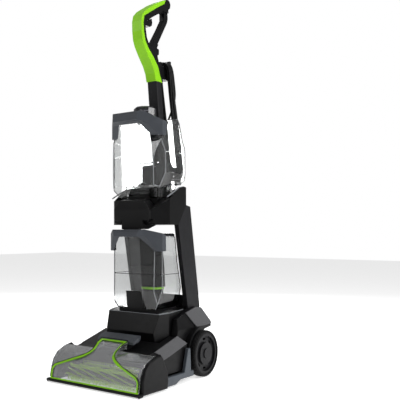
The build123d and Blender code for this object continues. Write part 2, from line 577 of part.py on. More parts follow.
def shrunk(plane, outline, inset, amount, both=False, mode=Mode.ADD):
    """Add or intersect the prism of an outline drawn in by inset."""
    with BuildSketch(plane) as face:
        with BuildLine():
            Polyline(*outline, close=True)
        make_face()
        if inset:
            offset(amount=-inset, kind=Kind.INTERSECTION)
    extrude(face.sketch, amount=amount, both=both, mode=mode)


def clean_tank_form(inset):
    """The clean tank's outer form, or its water space when inset by the wall."""
    with BuildPart() as form:
        shrunk(side(0), CLEAN_SIDE, inset, 100, both=True)
        shrunk(level(480), symmetric(CLEAN_PLAN), inset, 300, mode=Mode.INTERSECT)
        shrunk(front(0), symmetric(CLEAN_FRONT), inset, 400, both=True, mode=Mode.INTERSECT)
        # recess over the cradle's block, and the groove that straddles the pole
        block(level(480), (0, 270), 80 + 2 * inset, 140 + 2 * inset, 53 + inset, mode=Mode.SUBTRACT)
        prism(side(0), [(246 - inset, 480), (246 - inset, 604 + inset), (400, 604 + inset), (400, 480)],
              29 + inset, both=True, mode=Mode.SUBTRACT)
        prism(side(0), [(266 - inset, 600), (262 - inset, 740), (400, 740), (400, 600)], 21 + inset,
                        both=True, mode=Mode.SUBTRACT)
    return form.part


with BuildPart() as clean_tank:
    add(clean_tank_form(0))
    add(clean_tank_form(TANK_WALL), mode=Mode.SUBTRACT)
    # filler neck and valve seat
    rod(level(714), (0, CAP_Y), 22, 19)
    rod(level(700), (0, CAP_Y), 19, 60, mode=Mode.SUBTRACT)
    rod(level(525), (0, 222), 6 + RUN, 20, mode=Mode.SUBTRACT)
finish(clean_tank, "clean_tank")

with BuildPart() as clean_tank_handle:
    prism(level(660), symmetric([(42, 138), (91, 194), (91, 213), (85, 213), (85, 196.3), (72, 196.3),
                                 (34, 157)]), 90)
    handle_side = [(137, 713), (137, 728), (146, 738), (153, 738), (195, 714), (214, 711), (210, 673),
                   (184, 673), (159, 705)]
    prism(side(0), handle_side, 120, both=True, mode=Mode.INTERSECT)
finish(clean_tank_handle, "clean_tank_handle")

with BuildPart() as clean_tank_cap:
    with BuildSketch(level(734)) as facets:
        with Locations((0, CAP_Y)):
            RegularPolygon(CAP_R, 10)
    extrude(facets.sketch, amount=30)
    chamfer(clean_tank_cap.faces().sort_by(Axis.Z)[-1].edges(), length=5)
    rod(level(734), (0, CAP_Y), 22.4, 16, mode=Mode.SUBTRACT)
    rod(level(734), (0, CAP_Y), 18.6, 16)
    rod(level(720), (0, CAP_Y), 18.6, 14)
finish(clean_tank_cap, "clean_tank_cap")

with BuildPart() as clean_tank_valve:
    rod(level(530.3), (0, 222), 6, 14)
    rod(level(536.2), (0, 222), 11, 4)
finish(clean_tank_valve, "clean_tank_valve")

# ---------------------------------------------------------------- dirty water tank
DIRTY_SIDE = [(182, 392), (180, 240), (192, 190.3), (294, 190.3), (288, 256), (273, 317), (262, 392)]
DIRTY_PLAN = [(68, 178), (85, 198), (85, 300)]
DIRTY_FRONT = [(66, 190.3), (76, 206), (85, 246), (85, 392)]
LID_PLAN = [(66, 182), (83, 200), (83, 262)]
CUP_X, CUP_Y, CUP_R = 13.0, 252.0, 30.0

with BuildPart() as dirty_form:
    prism(side(0), DIRTY_SIDE, 90, both=True)
    prism(level(180), symmetric(DIRTY_PLAN), 230, mode=Mode.INTERSECT)
    prism(front(0), symmetric(DIRTY_FRONT), 400, both=True, mode=Mode.INTERSECT)
with BuildPart() as dirty_space:
    shrunk(side(0), DIRTY_SIDE, TANK_WALL, 90, both=True)
    shrunk(level(180), symmetric(DIRTY_PLAN), TANK_WALL, 230, mode=Mode.INTERSECT)
    shrunk(front(0), symmetric(DIRTY_FRONT), TANK_WALL, 400, both=True, mode=Mode.INTERSECT)
    block(level(380), (0, 222), 125, 75, 14)
with BuildPart() as dirty_tank:
    add(dirty_form.part)
    add(dirty_space.part, mode=Mode.SUBTRACT)
finish(dirty_tank, "dirty_tank")

with BuildPart() as dirty_tank_lid:
    prism(level(392.1), symmetric(LID_PLAN), 8)
    chamfer(dirty_tank_lid.faces().sort_by(Axis.Z)[-1].edges(), length=3)
finish(dirty_tank_lid, "dirty_tank_lid")

with BuildPart() as dirty_tank_handle:
    prism(level(340), symmetric([(41, 139), (92, 190), (92, 207), (85.4, 207), (85.4, 197.8), (68.2, 177.5),
                                 (34, 158)]), 90)
    handle_side = [(138, 392), (138, 402), (146, 411), (156, 411), (206, 396), (207, 351), (180, 351),
                   (157, 392)]
    prism(side(0), handle_side, 120, both=True, mode=Mode.INTERSECT)
    prism(level(385), symmetric([(66, 181), (84, 200), (84, 230)]), 40, mode=Mode.SUBTRACT)
finish(dirty_tank_handle, "dirty_tank_handle")

with BuildPart() as inlet_column:
    prism(side(-14), [(226, 391.8), (255, 391.8), (270, 318), (276, 248), (236, 248)], 54)
    prism(side(-10), [(230, 400), (251, 400), (266, 318), (272, 252), (240, 252)], 46, mode=Mode.SUBTRACT)
finish(inlet_column, "inlet_column")

with BuildPart() as float_cup:
    rod(level(200), (CUP_X, CUP_Y), CUP_R, 42)
    rod(level(203), (CUP_X, CUP_Y), CUP_R - 2.5, 60, mode=Mode.SUBTRACT)
    rod(level(192.9), (CUP_X, CUP_Y), 9, 7.1)
finish(float_cup, "float_cup")

with BuildPart() as cup_ring:
    rod(level(242), (CUP_X, CUP_Y), CUP_R + 1.5, 5.8)
    rod(level(242), (CUP_X, CUP_Y), CUP_R - 4, 6, mode=Mode.SUBTRACT)
finish(cup_ring, "cup_ring")

with BuildPart() as tank_float:
    rod(level(203.2), (CUP_X, CUP_Y), 20, 22)
    fillet(tank_float.edges().filter_by(GeomType.CIRCLE), radius=4)
finish(tank_float, "tank_float")

with BuildPart() as badge_plate:
    prism(side(0), [(180, 240), (192, 190.3), (188.9, 190.3), (176.9, 240)], 40, both=True)
    prism(front(0), symmetric([(25, 245), (31, 185)]), 400, both=True, mode=Mode.INTERSECT)
finish(badge_plate, "badge_plate")

# ---------------------------------------------------------------- mains cord
RELIEF_X, RELIEF_Z = -50.0, 462.0
CORD_ROUTE = [(-50, 345, 462), (-50, 366, 462), (-49, 386, 476), (-44, 394, 503), (-35, 389, 530), (-27,
              380, 556), (-24, 373, 580)]
HOUSING_BACK_Y = 319.8

# the hank leans a little more than the pole
tilt = atan2(HANK_LOW_Y - HANK_TOP_Y, HANK_TOP_Z - HANK_LOW_Z)
HANK_PLANE = Plane(origin=(0, LIP + HANK_LOW_Y, HANK_LOW_Z), x_dir=(1, 0, 0), z_dir=(0, -cos(tilt),
                   -sin(tilt)))
HANK_RUN = (HANK_TOP_Z - HANK_LOW_Z) / cos(tilt)

with BuildPart() as cord_hank:
    with BuildSketch(HANK_PLANE) as winding:
        with Locations((0, HANK_RUN / 2)):
            SlotCenterToCenter(HANK_RUN, 2 * HANK_LEG_X + HANK_WIDE, rotation=90)
            SlotCenterToCenter(HANK_RUN, 2 * HANK_LEG_X - HANK_WIDE, rotation=90, mode=Mode.SUBTRACT)
    extrude(winding.sketch, amount=HANK_THICK / 2, both=True)
    fillet(cord_hank.edges(), radius=4.5)
finish(cord_hank, "cord_hank")


def corner_radii(points):
    """Each corner's arc, as large as its two runs allow."""
    radii = []
    for before, at, after in zip(points, points[1:], points[2:]):
        entering, leaving = at - before, after - at
        half_turn = radians(entering.get_angle(leaving) / 2)
        radii.append(0.45 * min(entering.length, leaving.length) / tan(half_turn))
    return radii


route = [Vector(x, LIP + y, z) for x, y, z in CORD_ROUTE]
bends = corner_radii(route)
print("cord bend radii", [round(radius, 1) for radius in bends])

with BuildPart() as cord_lead:
    with BuildLine() as path:
        FilletPolyline(*route, radius=bends)
    with BuildSketch(Plane(origin=route[0], z_dir=route[1] - route[0])):
        Circle(CORD_D / 2)
    sweep()
finish(cord_lead, "cord_lead")
lead_length = path.wires()[0].length
lead_volume = lead_length * pi * CORD_D ** 2 / 4
print("lead length", round(lead_length, 1), "section times length", round(lead_volume, 1), "volume",
      round(cord_lead.part.volume, 1))

with BuildPart() as strain_relief:
    with BuildSketch(front(HOUSING_BACK_Y)) as wide_end:
        with Locations((RELIEF_X, RELIEF_Z)):
            Circle(7.5)
    with BuildSketch(front(CORD_ROUTE[0][1])) as narrow_end:
        with Locations((RELIEF_X, RELIEF_Z)):
            Circle(4.2)
    loft([wide_end.sketch, narrow_end.sketch])
finish(strain_relief, "strain_relief")

PLUG_X, PLUG_Y = -36.6, 371.0
with BuildPart() as cord_plug:
    rod(level(646), (PLUG_X, PLUG_Y), 4.5, 16)
    block(level(612), (PLUG_X, PLUG_Y), 17, 24, 36, corner=5)
    for pin_y in (-8, 8):
        rod(level(612), (PLUG_X, PLUG_Y + pin_y), 2, -19)
finish(cord_plug, "cord_plug")
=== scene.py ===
import json
import math
import random

import bpy
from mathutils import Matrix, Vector


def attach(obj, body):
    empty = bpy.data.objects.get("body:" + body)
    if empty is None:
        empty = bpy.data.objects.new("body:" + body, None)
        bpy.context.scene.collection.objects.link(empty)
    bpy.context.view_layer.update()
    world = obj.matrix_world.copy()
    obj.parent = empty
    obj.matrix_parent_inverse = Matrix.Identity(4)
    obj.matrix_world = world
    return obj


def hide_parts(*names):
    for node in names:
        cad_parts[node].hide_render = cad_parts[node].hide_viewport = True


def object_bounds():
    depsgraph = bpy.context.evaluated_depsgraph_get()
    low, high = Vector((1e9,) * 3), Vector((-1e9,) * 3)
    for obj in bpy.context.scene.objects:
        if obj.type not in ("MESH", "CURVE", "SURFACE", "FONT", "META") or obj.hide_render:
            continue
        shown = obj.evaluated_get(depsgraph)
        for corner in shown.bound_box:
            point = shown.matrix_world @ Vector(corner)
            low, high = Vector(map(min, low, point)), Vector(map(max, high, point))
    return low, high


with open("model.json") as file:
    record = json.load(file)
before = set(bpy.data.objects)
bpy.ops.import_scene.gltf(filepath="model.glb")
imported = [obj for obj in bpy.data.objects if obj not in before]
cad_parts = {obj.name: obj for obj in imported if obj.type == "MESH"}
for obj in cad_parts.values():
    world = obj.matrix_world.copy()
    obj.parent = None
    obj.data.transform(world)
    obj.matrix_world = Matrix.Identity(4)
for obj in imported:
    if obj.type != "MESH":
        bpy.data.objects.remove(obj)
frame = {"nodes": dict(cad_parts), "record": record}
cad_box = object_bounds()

# Upright carpet washer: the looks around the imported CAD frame. Lengths are in mm, and
# places are measured back from the nozzle's front edge. at() turns them into metres.
MM = 0.001
LIP = cad_box[0].y
NODES = frame["nodes"]
SIDES = (("left", -1), ("right", 1))


def at(x, y, z):
    """The point x across, y behind the nozzle's lip and z above the floor, all in mm."""
    return Vector((x * MM, LIP + y * MM, z * MM))


# ---------------------------------------------------------------- camera, light, floor
FILL_LIGHT = 0.32             # the white room's light on the object; it shows as full white
FLOOR_GLOW = 0.5              # evens out the floor towards the horizon
FLOOR_HALF = 8.0              # metres
LIGHT_TARGET = (0, 0, 0.5)
# name, place and size in metres, power in watts
LIGHTS = (
    ("key", (-1.3, -1.9, 2.0), (0.9, 1.2), 19),
    ("top", (0.3, 0.2, 2.6), (1.6, 1.6), 18),
    ("side_strip", (2.0, 0.5, 1.0), (0.4, 1.7), 34),
    ("back_strip", (-1.2, 1.8, 1.2), (0.5, 1.6), 20),
)


def add_camera():
    data = bpy.data.cameras.new("camera")
    data.sensor_width = 36
    data.lens = 58.75
    data.shift_x = 0.16575
    camera = bpy.data.objects.new("camera", data)
    camera.location = (1.12426, -1.47138, 0.4043)
    camera.rotation_euler = (math.radians(92.8), 0, math.radians(37.8))
    bpy.context.scene.collection.objects.link(camera)
    bpy.context.scene.camera = camera


def add_area_light(name, place, size, power):
    data = bpy.data.lights.new(name, "AREA")
    data.shape = "RECTANGLE"
    data.size, data.size_y = size
    data.energy = power
    lamp = bpy.data.objects.new(name, data)
    lamp.location = place
    lamp.rotation_euler = (Vector(LIGHT_TARGET) - Vector(place)).to_track_quat("-Z", "Y").to_euler()
    bpy.context.scene.collection.objects.link(lamp)


def add_studio():
    world = bpy.data.worlds.new("studio")
    world.use_nodes = True
    tree = world.node_tree
    path = tree.nodes.new("ShaderNodeLightPath")
    seen = larger(tree, path.outputs["Is Camera Ray"], path.outputs["Is Transmission Ray"])
    strength = tree.nodes.new("ShaderNodeMapRange")
    strength.inputs["To Min"].default_value = FILL_LIGHT
    strength.inputs["To Max"].default_value = 1.0
    tree.links.new(seen, strength.inputs["Value"])
    background = tree.nodes["Background"]
    background.inputs["Color"].default_value = (1, 1, 1, 1)
    tree.links.new(strength.outputs["Result"], background.inputs["Strength"])
    bpy.context.scene.world = world
    bpy.context.scene.view_settings.view_transform = "Standard"
    for name, place, size, power in LIGHTS:
        add_area_light(name, place, size, power)
    corners = [(x * FLOOR_HALF, y * FLOOR_HALF, 0) for x, y in ((-1, -1), (1, -1), (1, 1), (-1, 1))]
    floor = mesh_piece("floor", corners, [(0, 1, 2, 3)])
    pale = moulded("pale_floor", "#fbfbfb", 0.9, grain=3, depth=0.02, vary=0.01)
    glow = pale.node_tree.nodes["Principled BSDF"].inputs
    glow["Emission Color"].default_value = (1, 1, 1, 1)
    glow["Emission Strength"].default_value = FLOOR_GLOW
    floor.data.materials.append(pale)


# ---------------------------------------------------------------- mesh helpers
def mesh_piece(name, points, faces):
    """A new mesh object from points in metres."""
    mesh = bpy.data.meshes.new(name)
    mesh.from_pydata([tuple(p) for p in points], [], faces)
    mesh.update()
    piece = bpy.data.objects.new(name, mesh)
    bpy.context.scene.collection.objects.link(piece)
    return piece


def turned(profile, centre, steps, radius_at=None):
    """Points and faces of a closed outline of (x, radius) in mm, turned about an X axis."""
    y0, z0 = centre
    points, faces = [], []
    count = len(profile)
    for i in range(steps):
        angle = math.tau * i / steps
        for x, radius in profile:
            r = radius_at(x, radius, i) if radius_at else radius
            points.append(at(x, y0 + r * math.cos(angle), z0 + r * math.sin(angle)))
        for j in range(count):
            k = (j + 1) % count
            n = (i + 1) % steps
            faces.append((i * count + j, i * count + k, n * count + k, n * count + j))
    return points, faces


def put(piece, body, material, slot, *stands_for):
    """Give a new piece its material and its body, and hide the CAD parts it stands for."""
    piece.data.materials.append(material)
    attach(piece, body)
    if stands_for:
        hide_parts(*stands_for)
    return piece


# ---------------------------------------------------------------- material helpers
WAVE_SCALE = 20               # brings the wave texture's bands to about the pitch asked for
MIX_FACTOR, MIX_A, MIX_B, MIX_RESULT = 0, 6, 7, 2     # the mix node's sockets for colours


def linear(colour, factor=1.0):
    """A hex colour as linear RGBA, scaled in brightness."""
    values = [int(colour[i:i + 2], 16) / 255 for i in (1, 3, 5)]
    values = [v / 12.92 if v <= 0.04045 else ((v + 0.055) / 1.055) ** 2.4 for v in values]
    return (*[min(1.0, v * factor) for v in values], 1.0)


def blank(name):
    """A new material, its node tree, its shader and its object coordinates."""
    made = bpy.data.materials.new(name)
    made.use_nodes = True
    tree = made.node_tree
    place = tree.nodes.new("ShaderNodeTexCoord").outputs["Object"]
    return made, tree, tree.nodes["Principled BSDF"], place


def noise(tree, place, pitch, detail=2.0):
    """A noise whose features are about pitch mm across."""
    node = tree.nodes.new("ShaderNodeTexNoise")
    node.inputs["Scale"].default_value = 1 / (pitch * MM)
    node.inputs["Detail"].default_value = detail
    tree.links.new(place, node.inputs["Vector"])
    return node.outputs["Fac"]


def diagonal_bands(tree, place, pitch, hand):
    """Even bands, pitch mm apart, that run diagonally one way or, with hand -1, the other."""
    mapping = tree.nodes.new("ShaderNodeMapping")
    mapping.inputs["Scale"].default_value = (1, hand, 1)
    tree.links.new(place, mapping.inputs["Vector"])
    node = tree.nodes.new("ShaderNodeTexWave")
    node.bands_direction = "DIAGONAL"
    node.inputs["Scale"].default_value = math.tau / WAVE_SCALE / (pitch * MM)
    node.inputs["Distortion"].default_value = 0
    tree.links.new(mapping.outputs["Vector"], node.inputs["Vector"])
    return node.outputs["Fac"]


def spread(tree, value, low, high):
    """The value, about 0.3 to 0.7, mapped to low to high."""
    node = tree.nodes.new("ShaderNodeMapRange")
    node.inputs["From Min"].default_value = 0.3
    node.inputs["From Max"].default_value = 0.7
    node.inputs["To Min"].default_value = low
    node.inputs["To Max"].default_value = high
    tree.links.new(value, node.inputs["Value"])
    return node.outputs["Result"]


def shaded(tree, value, dark, light, low=0.3, high=0.7):
    """A colour ramp driven by the value."""
    node = tree.nodes.new("ShaderNodeValToRGB")
    node.color_ramp.elements[0].position = low
    node.color_ramp.elements[0].color = dark
    node.color_ramp.elements[1].position = high
    node.color_ramp.elements[1].color = light
    tree.links.new(value, node.inputs["Fac"])
    return node.outputs["Color"]


def larger(tree, a, b):
    """The larger of two values."""
    node = tree.nodes.new("ShaderNodeMath")
    node.operation = "MAXIMUM"
    tree.links.new(a, node.inputs[0])
    tree.links.new(b, node.inputs[1])
    return node.outputs["Value"]


def raised(tree, shader, height, depth, before=None):
    """Bump the shader by the height, depth mm deep, on top of an earlier bump."""
    node = tree.nodes.new("ShaderNodeBump")
    node.inputs["Strength"].default_value = 1.0
    node.inputs["Distance"].default_value = depth * MM
    tree.links.new(height, node.inputs["Height"])
    if before:
        tree.links.new(before, node.inputs["Normal"])
    tree.links.new(node.outputs["Normal"], shader.inputs["Normal"])
    return node.outputs["Normal"]


def moulded(name, colour, rough, grain=0.7, depth=0.03, vary=0.12, gloss=0.13):
    """Moulded plastic or rubber: a soft drift of tone, a fine surface grain."""
    made, tree, shader, place = blank(name)
    drift = noise(tree, place, 45, 3)
    colours = shaded(tree, drift, linear(colour, 1 - vary), linear(colour, 1 + vary))
    tree.links.new(colours, shader.inputs["Base Color"])
    handled = noise(tree, place, 14, 4)
    tree.links.new(spread(tree, handled, rough * 0.85, min(1, rough * 1.18)), shader.inputs["Roughness"])
    raised(tree, shader, noise(tree, place, grain, 2), depth)
    shader.inputs["IOR"].default_value = 1.5
    shader.inputs["Specular IOR Level"].default_value = gloss
    return made


def hatched(name, colour, rough, pitch=2.2, depth=0.12):
    """Grey panel moulded with a fine crossed hatch."""
    made, tree, shader, place = blank(name)
    crossed = larger(
        tree,
        diagonal_bands(tree, place, pitch / 2, 1),
        diagonal_bands(tree, place, pitch / 2, -1),
    )
    colours = shaded(tree, crossed, linear(colour, 0.72), linear(colour, 1.12), 0.35, 0.9)
    tree.links.new(colours, shader.inputs["Base Color"])
    handled = noise(tree, place, 12, 4)
    tree.links.new(spread(tree, handled, rough * 0.9, rough * 1.1), shader.inputs["Roughness"])
    grain = raised(tree, shader, noise(tree, place, 0.5, 2), 0.02)
    raised(tree, shader, crossed, depth, grain)
    shader.inputs["Specular IOR Level"].default_value = 0.25
    return made


def see_through(name, colour, rough, body=0.0, ior=1.35, edge=0.3, coat=0.0):
    """Clear moulded plastic. body is its cloudy share, edge its darkening where seen edge on."""
    made, tree, shader, place = blank(name)
    drift = noise(tree, place, 60, 2)
    colours = shaded(tree, drift, linear(colour, 0.97), linear(colour, 1.0))
    seen = tree.nodes.new("ShaderNodeLayerWeight")
    seen.inputs["Blend"].default_value = 0.3
    mix = tree.nodes.new("ShaderNodeMix")
    mix.data_type = "RGBA"
    mix.inputs[MIX_B].default_value = linear(colour, edge)
    tree.links.new(seen.outputs["Facing"], mix.inputs[MIX_FACTOR])
    tree.links.new(colours, mix.inputs[MIX_A])
    tree.links.new(mix.outputs[MIX_RESULT], shader.inputs["Base Color"])
    handled = noise(tree, place, 20, 3)
    tree.links.new(spread(tree, handled, rough * 0.9, rough * 1.1), shader.inputs["Roughness"])
    raised(tree, shader, noise(tree, place, 25, 1), 0.06)
    shader.inputs["Transmission Weight"].default_value = 1.0 - body
    shader.inputs["IOR"].default_value = ior
    shader.inputs["Coat Weight"].default_value = coat
    shader.inputs["Coat IOR"].default_value = 1.9
    shader.inputs["Coat Roughness"].default_value = 0.16
    return made


def metal(name, colour, rough):
    """Turned or cast metal with fine brushing."""
    made, tree, shader, place = blank(name)
    brushed = noise(tree, place, 1.2, 5)
    colours = shaded(tree, brushed, linear(colour, 0.85), linear(colour, 1.05))
    tree.links.new(colours, shader.inputs["Base Color"])
    tree.links.new(spread(tree, brushed, rough * 0.7, rough * 1.3), shader.inputs["Roughness"])
    raised(tree, shader, brushed, 0.02)
    shader.inputs["Metallic"].default_value = 1.0
    return made


def nylon(name, colour):
    """Bristles: each one a little lighter or darker than the next."""
    made, tree, shader, place = blank(name)
    strands = noise(tree, place, 3.5, 2)
    colours = shaded(tree, strands, linear(colour, 0.55), linear(colour, 1.15), 0.35, 0.65)
    tree.links.new(colours, shader.inputs["Base Color"])
    tree.links.new(spread(tree, strands, 0.3, 0.5), shader.inputs["Roughness"])
    raised(tree, shader, noise(tree, place, 0.8, 1), 0.05)
    shader.inputs["Subsurface Weight"].default_value = 0.15
    shader.inputs["Subsurface Radius"].default_value = (0.004, 0.006, 0.001)
    return made


MATERIALS = {
    "black_plastic": moulded("black_plastic", "#0a0a0b", 0.38),
    "dark_plastic": moulded("dark_plastic", "#1a1a1c", 0.42),
    "slate_plastic": moulded("slate_plastic", "#3a3d42", 0.42, gloss=0.25),
    "grey_plastic": hatched("grey_plastic", "#4b4b4d", 0.5),
    "trim_plastic": moulded("trim_plastic", "#42474d", 0.42, grain=0.5, gloss=0.25),
    "green_plastic": moulded("green_plastic", "#7cbc00", 0.4, grain=1.5, depth=0.01, vary=0.05, gloss=0.3),
    "clear_plastic": see_through("clear_plastic", "#f0f1f1", 0.03, edge=0.25),
    "window_plastic": see_through("window_plastic", "#f6f8fa", 0.05, body=0.06, coat=1.0),
    "smoked_plastic": see_through("smoked_plastic", "#3c3c40", 0.08, body=0.35),
    # painted highlights: pale grey for the lit lines along the basin's and cradle's black rims and the
    # basin's corner chamfers
    "painted_rim_highlight": moulded("painted_rim_highlight", "#6d7074", 0.4, gloss=0.3),
    # painted highlights: grey lines on the clear tanks' corners
    "painted_edge_highlight": moulded("painted_edge_highlight", "#8b8e91", 0.25, gloss=0.5),
    "tyre_rubber": moulded("tyre_rubber", "#0d0d0e", 0.62, grain=1.1, depth=0.08),
    "rubber": moulded("rubber", "#0f0f10", 0.45, grain=0.9, depth=0.03),
    "bristle": nylon("bristle", "#c8fa28"),
    "motor_metal": metal("motor_metal", "#b8b8ba", 0.4),
    "steel": metal("steel", "#c0c0c4", 0.3),
}
# looks that differ from the node's record slot
SPECIAL_LOOKS = {"nozzle_window": "window_plastic"}


# ---------------------------------------------------------------- mains cord
CORD_R = 3.0
LEAD = [(-50, 345, 462), (-50, 366, 462), (-49, 386, 476), (-44, 394, 503), (-35, 389, 530),
        (-27, 380, 556), (-24, 373, 580)]
HANK_LOW = (381, 586)         # centre of the winding's lower bend
HANK_TOP = (330, 888)         # centre of its upper bend
HANK_LEG_X = 22.0
TURNS = ((3, -9), (-3, -9), (-3, -3), (3, -3), (3, 3), (-3, 3), (-3, 9), (3, 9))
LEG_STOPS = (0.12, 0.31, 0.5, 0.69, 0.88)
BEND_ANGLES = (22.5, 67.5, 112.5, 157.5)
HALF_STEP = math.radians(22.5)
LEFT_LOOSE, RIGHT_LOOSE = 0.22, 0.3       # how much the turns part halfway up each leg
SWAY = 0.5
TAIL = [(25, 250, 10.5), (22, 226, 13), (11, 200, 15.5), (-6, 173, 17.5), (-23, 146, 17.5),
        (-33.5, 120, 12), (-36.6, 98, 5), (-36.6, 76.6, 2.8)]


def on_hank(x, along, out):
    """A point of the winding: across, up from its lower bend and out towards the back."""
    lean = math.atan2(HANK_LOW[0] - HANK_TOP[0], HANK_TOP[1] - HANK_LOW[1])
    y = HANK_LOW[0] - along * math.sin(lean) + out * math.cos(lean)
    z = HANK_LOW[1] + along * math.cos(lean) + out * math.sin(lean)
    return at(x, y, z)


def winding(run, rng):
    """The turns round the two hooks, each beside or on the one before."""
    points = []
    for turn, (reach, out) in enumerate(TURNS):
        last = turn == len(TURNS) - 1
        next_reach, next_out = TURNS[turn] if last else TURNS[turn + 1]
        for share in LEG_STOPS:
            loose = 1 + LEFT_LOOSE * math.sin(math.pi * share)
            sway = rng.uniform(-SWAY, SWAY) * math.sin(math.pi * share)
            points.append(on_hank(-HANK_LEG_X - reach * loose + sway, run * share, out * loose))
        radius = HANK_LEG_X + reach
        corner = radius / math.cos(HALF_STEP)
        for angle in map(math.radians, BEND_ANGLES):
            points.append(on_hank(-corner * math.cos(angle), run + corner * math.sin(angle), out))
        if last:
            return points
        for share in reversed(LEG_STOPS):
            loose = 1 + RIGHT_LOOSE * math.sin(math.pi * share)
            moved = (1 - share) ** 2 * (1 + 2 * share)
            side = reach + (next_reach - reach) * moved
            back = out + (next_out - out) * moved
            points.append(on_hank(HANK_LEG_X + side * loose, run * share, back * loose))
        radius = HANK_LEG_X + next_reach
        corner = radius / math.cos(HALF_STEP)
        for angle in map(math.radians, BEND_ANGLES):
            points.append(on_hank(corner * math.cos(angle), -corner * math.sin(angle), next_out))
    return points


def add_cord():
    run = math.dist(HANK_LOW, HANK_TOP)
    points = [at(*p) for p in LEAD] + winding(run, random.Random(7)) + [on_hank(*p) for p in TAIL]
    data = bpy.data.curves.new("mains_cord", "CURVE")
    data.dimensions = "3D"
    data.bevel_depth = CORD_R * MM
    data.bevel_resolution = 3
    data.resolution_u = 6
    data.use_fill_caps = True
    spline = data.splines.new("NURBS")
    spline.points.add(len(points) - 1)
    for point, place in zip(spline.points, points):
        point.co = (*place, 1)
    spline.order_u = 3
    spline.use_endpoint_u = True
    cord = bpy.data.objects.new("mains_cord", data)
    bpy.context.scene.collection.objects.link(cord)
    sheath = moulded("cord_sheath", "#101011", 0.4, grain=1.0)
    put(cord, "upright", sheath, "rubber", "cord_hank", "cord_lead")


# ---------------------------------------------------------------- brush rolls
BRUSH_Z = 26.5
CORE_R, TIP_R = 13.0, 23.3
# (x, radius): the shaft, the belt's end and the tufted length
CORE_PROFILE = [(-149, 0.3), (-149, 4), (-124, 4), (-124, 13.5), (-117, 13.5), (-116, 13), (132, 13),
                (132, 4), (149, 4), (149, 0.3)]
CORE_STEPS = 40
BRUSHES = (("front_brush", 44, 1), ("rear_brush", 93, -1))
TUFT_PITCH = 5.0
TUFT_ROWS = 8
FILAMENTS = 7
TUFTS_FROM, TUFTS_LONG = -108, 232
TWIST = 0.075                 # radians from one tuft to the next along a row
ROOT_THICK, TIP_THICK = 0.55, 0.28


def tuft_points(rng, x, angle, centre):
    """One tuft: filaments that flare from a hole in the core. Returns points and faces."""
    points, faces = [], []
    for _ in range(FILAMENTS):
        foot_x, foot_a = x + rng.uniform(-0.9, 0.9), angle + rng.uniform(-0.07, 0.07)
        tip_x, tip_a = foot_x + rng.uniform(-1.6, 1.6), foot_a + rng.uniform(-0.06, 0.06)
        tip_r = TIP_R - rng.uniform(0, 1.2)
        start = len(points)
        root = (foot_x, foot_a, CORE_R - 0.5, ROOT_THICK)
        for px, pa, pr, thick in (root, (tip_x, tip_a, tip_r, TIP_THICK)):
            for corner in range(3):
                turn = math.tau * corner / 3
                y = centre + pr * math.cos(pa) - thick * math.sin(turn) * math.sin(pa)
                z = BRUSH_Z + pr * math.sin(pa) + thick * math.sin(turn) * math.cos(pa)
                points.append(at(px + thick * math.cos(turn), y, z))
        faces += [(start, start + 1, start + 4, start + 3), (start + 1, start + 2, start + 5, start + 4),
                  (start + 2, start, start + 3, start + 5), (start + 3, start + 4, start + 5),
                  (start + 2, start + 1, start)]
    return points, faces


def add_brush(body, centre, hand):
    rng = random.Random(centre)
    points, faces = turned(CORE_PROFILE, (centre, BRUSH_Z), CORE_STEPS)
    piece = mesh_piece(f"{body}_core", points, faces)
    put(piece, body, MATERIALS["dark_plastic"], "dark_plastic", f"{body}_roll")
    points, faces = [], []
    steps = int(TUFTS_LONG / TUFT_PITCH)
    for row in range(TUFT_ROWS):
        for step in range(steps):
            x = TUFTS_FROM + step * TUFT_PITCH + (row % 2) * TUFT_PITCH / 2
            angle = math.tau * row / TUFT_ROWS + hand * step * TWIST
            more_points, more_faces = tuft_points(rng, x, angle, centre)
            faces += [tuple(len(points) + i for i in face) for face in more_faces]
            points += more_points
    put(mesh_piece(f"{body}_bristles", points, faces), body, MATERIALS["bristle"], "bristle")


# ---------------------------------------------------------------- tyres
WHEEL = (316, 64)             # the axle: behind the lip, above the floor
# (x, radius), once round the tyre's section
TYRE_PROFILE = [(126, 56), (126, 58), (127, 61.5), (129.5, 63.3), (132, 64), (135, 64), (135.4, 62.8),
                (136.8, 62.8), (137.2, 64), (142.8, 64), (143.2, 62.8), (144.6, 62.8), (145, 64),
                (148, 64), (150.5, 63.3), (153, 61.5), (154, 58), (154, 56)]
TREAD_STEPS = 240
SHOULDER_R, SLOT_DEPTH = 62, 1.0
TREAD_MIDDLE = (133, 147)
SLOT_EVERY, SLOT_WIDE = 6, 2  # in steps


def tread(x, radius, step):
    """The radius at a step round the tyre, with slots cut a little into its shoulders."""
    shoulder = radius > SHOULDER_R and not TREAD_MIDDLE[0] < abs(x) < TREAD_MIDDLE[1]
    return radius - SLOT_DEPTH if shoulder and step % SLOT_EVERY < SLOT_WIDE else radius


def add_tyre(name, sign):
    points, faces = turned([(sign * x, r) for x, r in TYRE_PROFILE], WHEEL, TREAD_STEPS, tread)
    if sign < 0:
        faces = [face[::-1] for face in faces]
    piece = mesh_piece(f"tread_{name}", points, faces)
    put(piece, f"wheel_{name}", MATERIALS["tyre_rubber"], "tyre_rubber", f"tyre_{name}")


# ---------------------------------------------------------------- raised lines, inlays and painted highlights
# half outline of the suction channel, from its foot up: (x, z)
BELL = [(149, 8), (148.5, 34), (146, 41), (138, 49.5), (88, 67.5), (56, 79), (44, 86), (40, 93),
        (41, 102), (46, 118)]
# the trim's surface from the lip to the neck: (z, y)
TRIM_FACE = [(10, 2.9), (26.4, 5.8), (48.6, 9.8), (67.5, 18.2), (82, 36), (89.8, 48.8), (97.9, 60.8),
             (108.1, 75.2), (115.4, 96.5)]
TRIM_STEP = 4.0               # from one point of the trim's outline to the next
TRIM_PROUD = 0.1              # how far the line's middle stands out of the trim
LIP_CLEAR = 14.0              # height that clears the front lip


